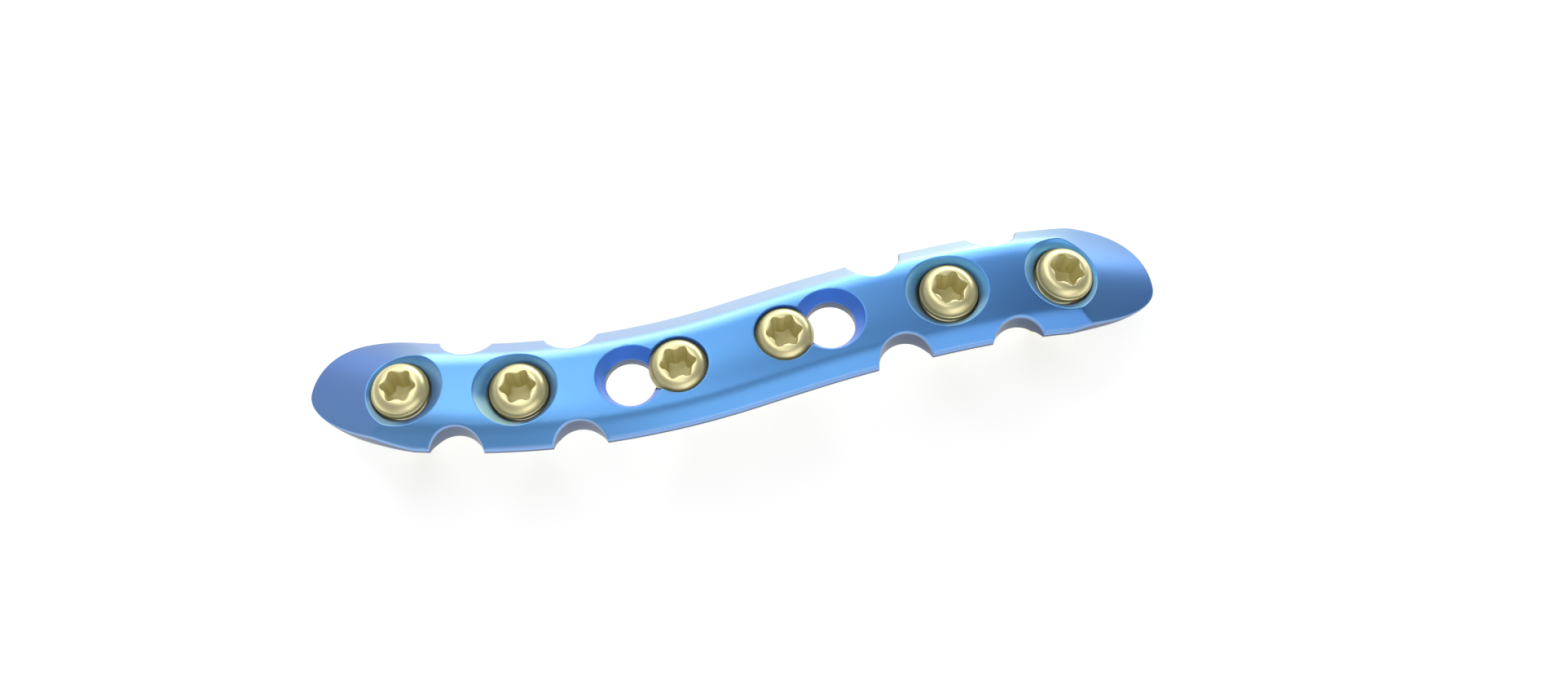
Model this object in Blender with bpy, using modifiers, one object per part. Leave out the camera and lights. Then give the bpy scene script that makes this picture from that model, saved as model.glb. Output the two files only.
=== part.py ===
"""Anatomic clavicle plate with six locking screws.

Units are metres, +Z points away from the bone and +X runs along the plate.
The origin is on the underside of the plate, on its centreline, halfway
between the two middle screws. A place on the plate is given as a station
along the centreline, an offset across it and a height above the underside.
"""
import math

import bmesh
import bpy
from mathutils import Matrix, Vector

MM = 0.001

# Centreline, seen from above: an arc, a short straight and an opposite arc.
MIDDLE_HEADING = math.radians(11.5)
INFLECTION_STATION = 3.85 * MM
STRAIGHT_LENGTH = 6.0 * MM
LEFT_ARC_RADIUS = 79.0 * MM
RIGHT_ARC_RADIUS = 229.0 * MM

# Bow, seen from the side: nearly flat between the knees, tighter beyond them.
BOW_RADIUS = 317.0 * MM
BOW_KNEE_STATION = 28.0 * MM
LEFT_END_BOW_RADIUS = 110.0 * MM
RIGHT_END_BOW_RADIUS = 60.0 * MM

# Cross-section of the plate.
PLATE_WIDTH = 12.75 * MM
PLATE_THICKNESS = 3.6 * MM
CROWN_RADIUS = 20.0 * MM
CROWN_WIDTH = 7.8 * MM
SHOULDER_WIDTH = 9.0 * MM
SHOULDER_DROP = 0.62 * MM
SIDE_WALL_TOP = 1.3 * MM
SIDE_WALL_FOOT = 0.62 * MM
SIDE_EDGE_CHAMFER = 0.16 * MM
FOOT_WIDTH = 10.0 * MM
UNDERSIDE_HOLLOW = 0.25 * MM

# Stations of the screws, counted from the origin.
MIDDLE_SCREW_STATION = 5.97 * MM
LEFT_INNER_PITCH = 17.3 * MM
RIGHT_INNER_PITCH = 18.7 * MM
END_PITCH = 12.9 * MM
FREE_CIRCLE_PITCH = 5.35 * MM
END_REACH_LEFT = 10.7 * MM
END_REACH_RIGHT = 11.35 * MM

# Noses at the two ends of the plate.
NOSE_LENGTH_LEFT = 13.7 * MM
NOSE_LENGTH_RIGHT = 12.7 * MM
NOSE_DRIFT_LEFT = -0.41 * MM
NOSE_DRIFT_RIGHT = -0.77 * MM
NOSE_FAR_FULLNESS = 4.0
NOSE_NEAR_FULLNESS = 1.3
NOSE_SIDE_EASE = 0.1 * MM
NOSE_TIP_THICKNESS = 0.7 * MM
NOSE_CROWN_RADIUS = 14.0 * MM
NOSE_START_LEFT = 0.4 * MM
NOSE_START_RIGHT = 1.0 * MM
NOSE_YAW_LEFT = math.radians(-18.0)
NOSE_YAW_RIGHT = math.radians(3.0)

# Scallops between the holes, on both edges, from the left end to the right end.
SCALLOP_RADIUS = 3.08 * MM
NEAR_SCALLOP_DEPTHS = (2.3 * MM, 2.2 * MM, 2.65 * MM, 1.85 * MM)
FAR_SCALLOP_DEPTHS = (2.0 * MM, 2.0 * MM, 2.75 * MM, 2.0 * MM)

# Locking screws.
HEAD_COLLAR_RADIUS = 3.22 * MM
HEAD_COLLAR_HEIGHT = 0.55 * MM
HEAD_GROOVE_DEPTH = 0.1 * MM
HEAD_GROOVE_WIDTH = 0.16 * MM
HEAD_DOME_HEIGHT = 1.05 * MM
HEAD_FACE_RADIUS = 2.25 * MM
HEAD_TAPER = 0.7 * MM
SCREW_LENGTH = 14.0 * MM
SHANK_RADIUS = 1.75 * MM
NECK_LENGTH = 0.6 * MM
TIP_LENGTH = 2.0 * MM
TIP_BLUNT_RADIUS = 0.35 * MM
RECESS_MEAN_RADIUS = 1.72 * MM
RECESS_LOBE = 0.28 * MM
RECESS_DEPTH = 3.0 * MM
RECESS_LOBES = 6
RECESS_TAPER = 0.2
SCREW_TURNS = (5.0, 6.5, -3.0, -8.5, -0.5, -23.0)

# Holes in the plate.
SEAT_HEIGHT = 2.2 * MM
BORE_FOOT_HEIGHT = 0.8 * MM
SCREW_CLEARANCE = 0.15 * MM
END_RIM_RADIUS = 5.0 * MM
COUNTERBORE_RIM_RADIUS = 4.65 * MM
SLOT_RIM_RADIUS = 3.75 * MM
SECOND_RIM_SHIFT = -0.35 * MM
FIFTH_RIM_SHIFT = -0.3 * MM
FREE_CIRCLE_RIM_RADIUS = 3.85 * MM
FREE_CIRCLE_BORE_RADIUS = 2.75 * MM
FREE_CIRCLE_LEDGE_HEIGHT = 1.5 * MM

# Finish.
BLUE_TITANIUM = (0.085, 0.33, 0.80, 1.0)
GOLD_TITANIUM = (0.80, 0.70, 0.33, 1.0)

# Fineness of the facets and reach of the cutters.
PATH_STEP = 1.25 * MM
INTEGRATION_STEP = 0.05 * MM
CROWN_POINTS = 7
UNDERSIDE_POINTS = 5
OUTLINE_STEP = 1.25 * MM
NOSE_OUTLINE_POINTS = 24
HOLE_STEPS = 40
SCALLOP_STEPS = 40
HEAD_STEPS = 32
DOME_POINTS = 5
LOBE_POINTS = 8
NOSE_PROFILE_POINTS = 15
CUTTER_MARGIN = 6.0 * MM
CUTTER_LIP = 1.5 * MM
CUTTER_FOOT = 2.0 * MM
OUTLINE_CLEARANCE = 0.6 * MM
MERGE = 0.000001

SCREW_NAMES = ("screw_1", "screw_2", "screw_3", "screw_4", "screw_5", "screw_6")


def clear_scene():
    for item in list(bpy.data.objects):
        bpy.data.objects.remove(item, do_unlink=True)


def new_collection(name):
    collection = bpy.data.collections.new(name)
    bpy.context.scene.collection.children.link(collection)
    return collection


def make_material(name, colour, roughness, metallic):
    material = bpy.data.materials.new(name)
    material.use_nodes = True
    shader = material.node_tree.nodes["Principled BSDF"]
    shader.inputs["Base Color"].default_value = colour
    shader.inputs["Roughness"].default_value = roughness
    shader.inputs["Metallic"].default_value = metallic
    material.diffuse_color = colour
    return material


def screw_stations():
    """The six screw stations, from the left end to the right end."""
    third = -MIDDLE_SCREW_STATION
    fourth = MIDDLE_SCREW_STATION
    second = third - LEFT_INNER_PITCH
    fifth = fourth + RIGHT_INNER_PITCH
    return (second - END_PITCH, second, third, fourth, fifth, fifth + END_PITCH)


def free_circle_stations():
    """The free circle of each combination hole lies outside its screw."""
    stations = screw_stations()
    return (stations[2] - FREE_CIRCLE_PITCH, stations[3] + FREE_CIRCLE_PITCH)


def tip_stations():
    stations = screw_stations()
    return (stations[0] - END_REACH_LEFT, stations[5] + END_REACH_RIGHT)


def heading(station):
    """Direction of the centreline seen from above."""
    past_middle = station - INFLECTION_STATION
    left = min(0.0, past_middle + STRAIGHT_LENGTH / 2)
    right = max(0.0, past_middle - STRAIGHT_LENGTH / 2)
    return MIDDLE_HEADING + left / LEFT_ARC_RADIUS - right / RIGHT_ARC_RADIUS


def dip(station):
    """Angle by which the centreline points down, towards +X."""
    near = min(abs(station), BOW_KNEE_STATION)
    far = abs(station) - near
    end_radius = LEFT_END_BOW_RADIUS if station < 0.0 else RIGHT_END_BOW_RADIUS
    return math.copysign(near / BOW_RADIUS + far / end_radius, station)


def tangent(station):
    turn = heading(station)
    fall = dip(station)
    flat = math.cos(fall)
    return Vector((flat * math.cos(turn), flat * math.sin(turn), -math.sin(fall)))


def centre_point(station):
    """Integrates the tangent from the origin by the midpoint rule."""
    steps = max(1, math.ceil(abs(station) / INTEGRATION_STEP))
    step = station / steps
    point = Vector((0.0, 0.0, 0.0))
    for index in range(steps):
        point += tangent((index + 0.5) * step) * step
    return point


def station_frame(station):
    """Matrix with X along the plate, Y across it and Z out of its top."""
    along = tangent(station)
    across = Vector((-math.sin(heading(station)), math.cos(heading(station)), 0.0))
    out = along.cross(across)
    frame = Matrix((along, across, out)).transposed().to_4x4()
    frame.translation = centre_point(station)
    return frame


def crown_height(offset):
    """Height of the crowned top at an offset across the plate."""
    return PLATE_THICKNESS - CROWN_RADIUS + math.sqrt(CROWN_RADIUS ** 2 - offset ** 2)


def half_section():
    """Right half of the cross-section, from the top centre down to the underside centre."""
    half_width = PLATE_WIDTH / 2
    points = []
    for index in range(CROWN_POINTS):
        offset = CROWN_WIDTH / 2 * index / (CROWN_POINTS - 1)
        points.append((offset, crown_height(offset)))
    shoulder = (SHOULDER_WIDTH / 2, PLATE_THICKNESS - SHOULDER_DROP)
    side_top = (half_width - SIDE_EDGE_CHAMFER, SIDE_WALL_TOP + SIDE_EDGE_CHAMFER)
    points.append(shoulder)
    points.append(side_top)
    points.append((half_width, SIDE_WALL_TOP))
    points.append((half_width, SIDE_WALL_FOOT))
    points.append((FOOT_WIDTH / 2, 0.0))
    for index in range(1, UNDERSIDE_POINTS):
        offset = FOOT_WIDTH / 2 * (1.0 - index / (UNDERSIDE_POINTS - 1))
        share = 1.0 - (2.0 * offset / FOOT_WIDTH) ** 2
        points.append((offset, UNDERSIDE_HOLLOW * share))
    return points


def full_section():
    right = half_section()
    left = [(-offset, height) for offset, height in reversed(right[1:-1])]
    return right + left


def flat_curve(name, points, half_height):
    """Closed flat outline, thickened to both sides of its plane."""
    curve = bpy.data.curves.new(name, "CURVE")
    curve.dimensions = "2D"
    curve.fill_mode = "BOTH"
    curve.extrude = half_height
    add_closed_spline(curve, points)
    return bpy.data.objects.new(name, curve)


def add_closed_spline(curve, points):
    spline = curve.splines.new("POLY")
    spline.points.add(len(points) - 1)
    for spline_point, (x, y) in zip(spline.points, points):
        spline_point.co = (x, y, 0.0, 1.0)
    spline.use_cyclic_u = True


def curve_to_mesh(curve_object, collection, name):
    """Turns a curve into a closed mesh object at the same place."""
    bpy.context.scene.collection.objects.link(curve_object)
    graph = bpy.context.evaluated_depsgraph_get()
    mesh = bpy.data.meshes.new_from_object(curve_object.evaluated_get(graph))
    mesh.name = name
    work = bmesh.new()
    work.from_mesh(mesh)
    bmesh.ops.remove_doubles(work, verts=work.verts, dist=MERGE)
    bmesh.ops.recalc_face_normals(work, faces=work.faces)
    work.to_mesh(mesh)
    work.free()
    result = bpy.data.objects.new(name, mesh)
    result.matrix_world = curve_object.matrix_world
    collection.objects.link(result)
    bpy.data.objects.remove(curve_object, do_unlink=True)
    return result


def make_plate_body(collection):
    """Sweeps the cross-section along the centreline."""
    section_curve = bpy.data.curves.new("plate_section", "CURVE")
    section_curve.dimensions = "2D"
    section_curve.fill_mode = "NONE"
    add_closed_spline(section_curve, full_section())
    section = bpy.data.objects.new("plate_section", section_curve)
    path_curve = bpy.data.curves.new("plate_path", "CURVE")
    path_curve.dimensions = "3D"
    path_curve.twist_mode = "Z_UP"
    path_curve.bevel_mode = "OBJECT"
    path_curve.bevel_object = section
    path_curve.use_fill_caps = True
    first, last = tip_stations()
    first -= PATH_STEP
    last += PATH_STEP
    count = math.ceil((last - first) / PATH_STEP)
    spline = path_curve.splines.new("POLY")
    spline.points.add(count)
    for index, spline_point in enumerate(spline.points):
        place = centre_point(first + (last - first) * index / count)
        spline_point.co = (place.x, place.y, place.z, 1.0)
    body = curve_to_mesh(bpy.data.objects.new("plate_path", path_curve), collection, "plate")
    bpy.data.objects.remove(section, do_unlink=True)
    return body


def nose_share(station):
    """How far a station lies into a nose: 0 up to its start, 1 at the tip."""
    first, last = tip_stations()
    left = 1.0 - (station - first) / NOSE_LENGTH_LEFT
    right = 1.0 - (last - station) / NOSE_LENGTH_RIGHT
    return min(1.0, max(0.0, left, right))


def outline_offset(station, side):
    """Offset of the outline across the plate, on the far side (1) or the near side (-1)."""
    share = nose_share(station)
    if share <= 0.0:
        return side * (PLATE_WIDTH / 2 + OUTLINE_CLEARANCE)
    drift = NOSE_DRIFT_LEFT if station < 0.0 else NOSE_DRIFT_RIGHT
    fullness = NOSE_FAR_FULLNESS if side > 0 else NOSE_NEAR_FULLNESS
    widest = PLATE_WIDTH / 2 + NOSE_SIDE_EASE
    return drift * share ** 2 + side * widest * math.sqrt(1.0 - share ** fullness)


def outline_stations():
    """Stations of the outline points, closer together round the tips."""
    first, last = tip_stations()
    noses = []
    for index in range(NOSE_OUTLINE_POINTS):
        noses.append(1.0 - math.cos(math.pi / 2 * index / NOSE_OUTLINE_POINTS))
    left = [first + NOSE_LENGTH_LEFT * share for share in noses]
    right = [last - NOSE_LENGTH_RIGHT * share for share in reversed(noses)]
    start = first + NOSE_LENGTH_LEFT
    straight = last - NOSE_LENGTH_RIGHT - start
    count = math.ceil(straight / OUTLINE_STEP)
    middle = [start + straight * index / count for index in range(count + 1)]
    return left + middle + right


def make_outline_cutter(collection):
    """Upright prism with the outline of the plate."""
    near_side = []
    far_side = []
    for station in outline_stations():
        frame = station_frame(station)
        near_side.append(frame @ Vector((0.0, outline_offset(station, -1), 0.0)))
        if nose_share(station) < 1.0:
            far_side.append(frame @ Vector((0.0, outline_offset(station, 1), 0.0)))
    ring = near_side + far_side[::-1]
    points = [(place.x, place.y) for place in ring]
    prism = flat_curve("outline_prism", points, PLATE_THICKNESS + 2 * CUTTER_MARGIN)
    return curve_to_mesh(prism, collection, "outline_cutter")


def turned_mesh(name, profile, steps):
    """Object that turns a profile of radius and height about Z."""
    mesh = bpy.data.meshes.new(name)
    vertices = [(radius, 0.0, height) for radius, height in profile]
    edges = [(index, index + 1) for index in range(len(profile) - 1)]
    mesh.from_pydata(vertices, edges, [])
    result = bpy.data.objects.new(name, mesh)
    turn = result.modifiers.new("turn", "SCREW")
    turn.axis = "Z"
    turn.angle = 2 * math.pi
    turn.steps = steps
    turn.render_steps = steps
    turn.use_merge_vertices = True
    turn.merge_threshold = MERGE
    return result


def add_cut(target, cutter, operation, collection):
    if cutter.name not in collection.objects:
        collection.objects.link(cutter)
    cutter.hide_render = True
    cutter.display_type = "WIRE"
    cut = target.modifiers.new(cutter.name, "BOOLEAN")
    cut.operation = operation
    cut.object = cutter
    cut.solver = "EXACT"


def throat_radius():
    return HEAD_COLLAR_RADIUS + SCREW_CLEARANCE


def counterbore_profile(rim_radius):
    """Cone from the rim of a locking hole down to its throat."""
    throat = throat_radius()
    rise = PLATE_THICKNESS - SEAT_HEIGHT
    top = PLATE_THICKNESS + CUTTER_LIP
    top_radius = throat + (rim_radius - throat) * (top - SEAT_HEIGHT) / rise
    return [
        (0.0, PLATE_THICKNESS + CUTTER_MARGIN),
        (top_radius, PLATE_THICKNESS + CUTTER_MARGIN),
        (top_radius, top),
        (throat, SEAT_HEIGHT),
        (0.0, SEAT_HEIGHT),
    ]


def bore_profile():
    """Tapered threaded bore below the throat of a locking hole, with a straight foot."""
    throat = throat_radius()
    return [
        (0.0, PLATE_THICKNESS + CUTTER_MARGIN),
        (throat, PLATE_THICKNESS + CUTTER_MARGIN),
        (throat, SEAT_HEIGHT),
        (throat - HEAD_TAPER, BORE_FOOT_HEIGHT),
        (throat - HEAD_TAPER, -CUTTER_FOOT),
        (0.0, -CUTTER_FOOT),
    ]


def free_circle_profile():
    """Smooth circle of a combination hole: a sloped seat above a plain bore."""
    slope_rise = PLATE_THICKNESS - FREE_CIRCLE_LEDGE_HEIGHT
    top = PLATE_THICKNESS + CUTTER_LIP
    widening = FREE_CIRCLE_RIM_RADIUS - FREE_CIRCLE_BORE_RADIUS
    top_radius = FREE_CIRCLE_BORE_RADIUS
    top_radius += widening * (top - FREE_CIRCLE_LEDGE_HEIGHT) / slope_rise
    return [
        (0.0, top),
        (top_radius, top),
        (FREE_CIRCLE_BORE_RADIUS, FREE_CIRCLE_LEDGE_HEIGHT),
        (FREE_CIRCLE_BORE_RADIUS, -CUTTER_FOOT),
        (0.0, -CUTTER_FOOT),
    ]


def cut_holes(plate, collection):
    rims = (END_RIM_RADIUS, COUNTERBORE_RIM_RADIUS, SLOT_RIM_RADIUS)
    rims += rims[::-1]
    shifts = (0.0, SECOND_RIM_SHIFT, 0.0, 0.0, FIFTH_RIM_SHIFT, 0.0)
    for index, station in enumerate(screw_stations()):
        frame = station_frame(station)
        profile = counterbore_profile(rims[index])
        cone = turned_mesh(f"counterbore_cutter_{index + 1}", profile, HOLE_STEPS)
        cone.matrix_world = frame @ Matrix.Translation((shifts[index], 0.0, 0.0))
        add_cut(plate, cone, "DIFFERENCE", collection)
        bore = turned_mesh(f"bore_cutter_{index + 1}", bore_profile(), HOLE_STEPS)
        bore.matrix_world = frame
        add_cut(plate, bore, "DIFFERENCE", collection)
    for index, station in enumerate(free_circle_stations()):
        cutter = turned_mesh(f"free_circle_cutter_{index + 1}", free_circle_profile(), HOLE_STEPS)
        cutter.matrix_world = station_frame(station)
        add_cut(plate, cutter, "DIFFERENCE", collection)


def scallop_stations():
    """The scallops lie in pairs, midway between the holes."""
    screws = screw_stations()
    circles = free_circle_stations()
    return (
        (screws[0] + screws[1]) / 2,
        (screws[1] + circles[0]) / 2,
        (circles[1] + screws[4]) / 2,
        (screws[4] + screws[5]) / 2,
    )


def cut_scallops(plate, collection):
    for index, station in enumerate(scallop_stations()):
        for side, depths in ((-1, NEAR_SCALLOP_DEPTHS), (1, FAR_SCALLOP_DEPTHS)):
            mesh = bpy.data.meshes.new("scallop_cutter")
            work = bmesh.new()
            bmesh.ops.create_cone(work, cap_ends=True, segments=SCALLOP_STEPS,
                                  radius1=SCALLOP_RADIUS, radius2=SCALLOP_RADIUS,
                                  depth=PLATE_THICKNESS + CUTTER_MARGIN)
            work.to_mesh(mesh)
            work.free()
            side_name = "far" if side > 0 else "near"
            cutter = bpy.data.objects.new(f"scallop_cutter_{side_name}_{index + 1}", mesh)
            offset = side * (PLATE_WIDTH / 2 - depths[index] + SCALLOP_RADIUS)
            shift = Matrix.Translation((0.0, offset, PLATE_THICKNESS / 2))
            cutter.matrix_world = station_frame(station) @ shift
            add_cut(plate, cutter, "DIFFERENCE", collection)


def make_nose_cutter(name, side, start, yaw, collection):
    """Block with a hollow underside that leaves a crowned, falling nose.

    It lies along the line from the start of the nose to its tip. The side is
    -1 for the left end of the plate and 1 for the right end.
    """
    end_station = screw_stations()[0 if side < 0 else 5]
    tip_station = tip_stations()[0 if side < 0 else 1]
    end_frame = station_frame(end_station)
    tip = end_frame.inverted() @ station_frame(tip_station)
    tip_top = tip @ Vector((0.0, 0.0, NOSE_TIP_THICKNESS))
    start_top = Vector((side * start, 0.0, PLATE_THICKNESS))
    fall = math.atan2(start_top.z - tip_top.z, side * (tip_top.x - start_top.x))
    half = PLATE_WIDTH / 2 + CUTTER_MARGIN / 2
    hollow = []
    for index in range(NOSE_PROFILE_POINTS):
        offset = -half + 2 * half * index / (NOSE_PROFILE_POINTS - 1)
        drop = NOSE_CROWN_RADIUS - math.sqrt(NOSE_CROWN_RADIUS ** 2 - offset ** 2)
        hollow.append((offset, -drop))
    roof = PLATE_THICKNESS + CUTTER_MARGIN
    profile = hollow + [(half, roof), (-half, roof)]
    reach = abs(tip_station - end_station) + CUTTER_MARGIN
    prism = flat_curve(name, profile, reach / 2)
    stand = Matrix(((0, 0, 1, 0), (1, 0, 0, 0), (0, 1, 0, 0), (0, 0, 0, 1)))
    along = Matrix.Translation((side * (reach / 2 - CUTTER_MARGIN / 2), 0.0, 0.0))
    lean = Matrix.Rotation(side * fall, 4, "Y")
    swing = Matrix.Rotation(yaw, 4, "Z")
    place = Matrix.Translation(start_top)
    prism.matrix_world = end_frame @ place @ swing @ lean @ along @ stand
    return curve_to_mesh(prism, collection, name)


def cut_noses(plate, collection):
    left = make_nose_cutter("nose_cutter_left", -1, NOSE_START_LEFT, NOSE_YAW_LEFT, collection)
    right = make_nose_cutter("nose_cutter_right", 1, NOSE_START_RIGHT, NOSE_YAW_RIGHT, collection)
    add_cut(plate, left, "DIFFERENCE", collection)
    add_cut(plate, right, "DIFFERENCE", collection)


def screw_profile():
    """Outer side of a locking screw, from the middle of its head face to its tip."""
    collar_top = SEAT_HEIGHT + HEAD_COLLAR_HEIGHT
    dome_foot = collar_top + HEAD_GROOVE_WIDTH
    head_top = collar_top + HEAD_DOME_HEIGHT
    dome_radius = HEAD_COLLAR_RADIUS - HEAD_GROOVE_DEPTH
    points = [(0.0, head_top), (HEAD_FACE_RADIUS, head_top)]
    for index in range(1, DOME_POINTS + 1):
        angle = math.pi / 2 * index / DOME_POINTS
        radius = HEAD_FACE_RADIUS + (dome_radius - HEAD_FACE_RADIUS) * math.sin(angle)
        height = dome_foot + (head_top - dome_foot) * math.cos(angle)
        points.append((radius, height))
    foot = head_top - SCREW_LENGTH
    points.append((dome_radius, collar_top))
    points.append((HEAD_COLLAR_RADIUS, collar_top - HEAD_GROOVE_DEPTH))
    points.append((HEAD_COLLAR_RADIUS, SEAT_HEIGHT))
    points.append((HEAD_COLLAR_RADIUS - HEAD_TAPER, BORE_FOOT_HEIGHT))
    points.append((HEAD_COLLAR_RADIUS - HEAD_TAPER, 0.0))
    points.append((SHANK_RADIUS, -NECK_LENGTH))
    points.append((SHANK_RADIUS, foot + TIP_LENGTH))
    points.append((TIP_BLUNT_RADIUS, foot))
    points.append((0.0, foot))
    return points


def recess_outline():
    """Rounded six-lobed outline of the driver recess."""
    count = RECESS_LOBES * LOBE_POINTS
    points = []
    for index in range(count):
        angle = 2 * math.pi * index / count
        radius = RECESS_MEAN_RADIUS + RECESS_LOBE * math.cos(RECESS_LOBES * angle)
        points.append((radius * math.cos(angle), radius * math.sin(angle)))
    return points


def make_screw_mesh(collection):
    """One locking screw, turned and recessed, as a mesh that all six share."""
    blank = turned_mesh("screw_blank", screw_profile(), HEAD_STEPS)
    bpy.context.scene.collection.objects.link(blank)
    head_top = SEAT_HEIGHT + HEAD_COLLAR_HEIGHT + HEAD_DOME_HEIGHT
    prism = flat_curve("recess_prism", recess_outline(), RECESS_DEPTH)
    prism.matrix_world = Matrix.Translation((0.0, 0.0, head_top))
    cutter = curve_to_mesh(prism, collection, "recess_cutter")
    for vertex in cutter.data.vertices:
        widening = 1.0 + RECESS_TAPER * vertex.co.z / RECESS_DEPTH
        vertex.co.x *= widening
        vertex.co.y *= widening
    add_cut(blank, cutter, "DIFFERENCE", collection)
    graph = bpy.context.evaluated_depsgraph_get()
    mesh = bpy.data.meshes.new_from_object(blank.evaluated_get(graph))
    mesh.name = "locking_screw"
    bpy.data.objects.remove(blank, do_unlink=True)
    return mesh


def shade_round(item):
    item.data.shade_smooth()
    item.data.set_sharp_from_angle(angle=math.radians(30.0))


def main():
    clear_scene()
    parts = new_collection("clavicle_plate")
    cutters = new_collection("cutters")
    blue = make_material("blue_titanium", BLUE_TITANIUM, 0.28, 0.85)
    gold = make_material("gold_titanium", GOLD_TITANIUM, 0.25, 0.85)
    plate = make_plate_body(parts)
    add_cut(plate, make_outline_cutter(cutters), "INTERSECT", cutters)
    cut_noses(plate, cutters)
    cut_holes(plate, cutters)
    cut_scallops(plate, cutters)
    plate.data.materials.clear()
    plate.data.materials.append(blue)
    shade_round(plate)
    screw_mesh = make_screw_mesh(cutters)
    screw_mesh.materials.clear()
    screw_mesh.materials.append(gold)
    for name, station, turn in zip(SCREW_NAMES, screw_stations(), SCREW_TURNS):
        screw = bpy.data.objects.new(name, screw_mesh)
        screw.matrix_world = station_frame(station) @ Matrix.Rotation(math.radians(turn), 4, "Z")
        parts.objects.link(screw)
        shade_round(screw)


main()
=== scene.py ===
"""Clavicle plate with six locking screws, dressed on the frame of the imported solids.

Lengths are in metres. While the plate is shaped, a vertex holds its station
along the centreline, its offset across it and its height above the underside.
A last step bends that straight plate onto its curved centreline.
"""
import math

import bmesh
import bpy
from mathutils import Matrix, Vector
from mathutils.kdtree import KDTree

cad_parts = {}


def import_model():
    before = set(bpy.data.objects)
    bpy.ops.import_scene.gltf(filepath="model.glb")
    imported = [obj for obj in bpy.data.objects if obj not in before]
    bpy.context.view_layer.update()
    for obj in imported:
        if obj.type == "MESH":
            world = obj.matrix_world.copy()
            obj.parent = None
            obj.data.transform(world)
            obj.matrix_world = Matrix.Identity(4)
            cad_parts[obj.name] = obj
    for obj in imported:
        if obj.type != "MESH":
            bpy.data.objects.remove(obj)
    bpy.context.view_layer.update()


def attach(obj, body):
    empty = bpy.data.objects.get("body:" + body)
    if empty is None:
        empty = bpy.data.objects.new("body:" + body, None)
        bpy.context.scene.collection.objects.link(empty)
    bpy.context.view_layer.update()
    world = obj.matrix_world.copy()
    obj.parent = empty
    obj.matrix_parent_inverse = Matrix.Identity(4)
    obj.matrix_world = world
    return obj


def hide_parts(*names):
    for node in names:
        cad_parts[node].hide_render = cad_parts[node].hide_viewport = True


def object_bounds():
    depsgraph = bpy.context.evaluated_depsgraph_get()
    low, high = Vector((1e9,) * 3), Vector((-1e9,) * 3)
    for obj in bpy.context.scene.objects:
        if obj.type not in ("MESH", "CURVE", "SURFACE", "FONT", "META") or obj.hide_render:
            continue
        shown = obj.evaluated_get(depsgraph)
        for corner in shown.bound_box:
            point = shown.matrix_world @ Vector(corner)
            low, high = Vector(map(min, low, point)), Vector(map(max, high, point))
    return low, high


MM = 0.001

# Centreline, as in the source of the part.
MIDDLE_HEADING = math.radians(11.5)
INFLECTION_STATION = 3.85 * MM
STRAIGHT_LENGTH = 6.0 * MM
LEFT_ARC_RADIUS = 79.0 * MM
RIGHT_ARC_RADIUS = 229.0 * MM
BOW_RADIUS = 317.0 * MM
BOW_KNEE_STATION = 28.0 * MM
LEFT_END_BOW_RADIUS = 110.0 * MM
RIGHT_END_BOW_RADIUS = 60.0 * MM
TABLE_STEP = 0.05 * MM
TABLE_REACH = 56.0 * MM

# Cross-section.
PLATE_WIDTH = 12.75 * MM
PLATE_THICKNESS = 3.6 * MM
CROWN_RADIUS = 20.0 * MM
CROWN_WIDTH = 7.8 * MM
CROWN_LIMIT = 0.9  # Share of a crown's radius up to which its height is worked out.
SHOULDER_WIDTH = 9.0 * MM
SHOULDER_DROP = 0.62 * MM
EDGE_HEIGHT = 1.45 * MM
SHOULDER_BLEND = 0.3 * MM
FOOT_WIDTH = 10.0 * MM
FOOT_RISE = 0.62 * MM
UNDERSIDE_HOLLOW = 0.25 * MM

# Stations.
SCREW_STATIONS = (-36.17 * MM, -23.27 * MM, -5.97 * MM, 5.97 * MM, 24.67 * MM, 37.57 * MM)
FREE_CIRCLE_PITCH = 5.35 * MM

# Noses, at the left end (-1) and at the right end (1).
END_STATION = {-1: SCREW_STATIONS[0], 1: SCREW_STATIONS[5]}
END_REACH = {-1: 10.7 * MM, 1: 11.35 * MM}
TIP_STATION = {side: END_STATION[side] + side * END_REACH[side] for side in (-1, 1)}
NOSE_LENGTH = {-1: 13.7 * MM, 1: 12.7 * MM}
NOSE_DRIFT = {-1: -0.41 * MM, 1: -0.77 * MM}
NOSE_START = {-1: 0.4 * MM, 1: 1.0 * MM}
NOSE_YAW = {-1: math.radians(-18.0), 1: math.radians(3.0)}
NOSE_FAR_FULLNESS = 4.0
NOSE_NEAR_FULLNESS = 1.3
NOSE_SIDE_EASE = 0.1 * MM
NOSE_TIP_THICKNESS = 0.7 * MM
NOSE_CROWN_RADIUS = 14.0 * MM
NOSE_BLEND = 0.1 * MM
NOSE_COVER = 9.0 * MM  # How far inwards of its start a nose's face may cut the plate,
NO_NOSE_HEIGHT = 3 * PLATE_THICKNESS  # and its height beyond that.

# Scallops.
SCALLOP_RADIUS = 3.08 * MM
NEAR_SCALLOP_DEPTHS = (2.3 * MM, 2.2 * MM, 2.65 * MM, 1.85 * MM)
FAR_SCALLOP_DEPTHS = (2.0 * MM, 2.0 * MM, 2.75 * MM, 2.0 * MM)

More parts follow.
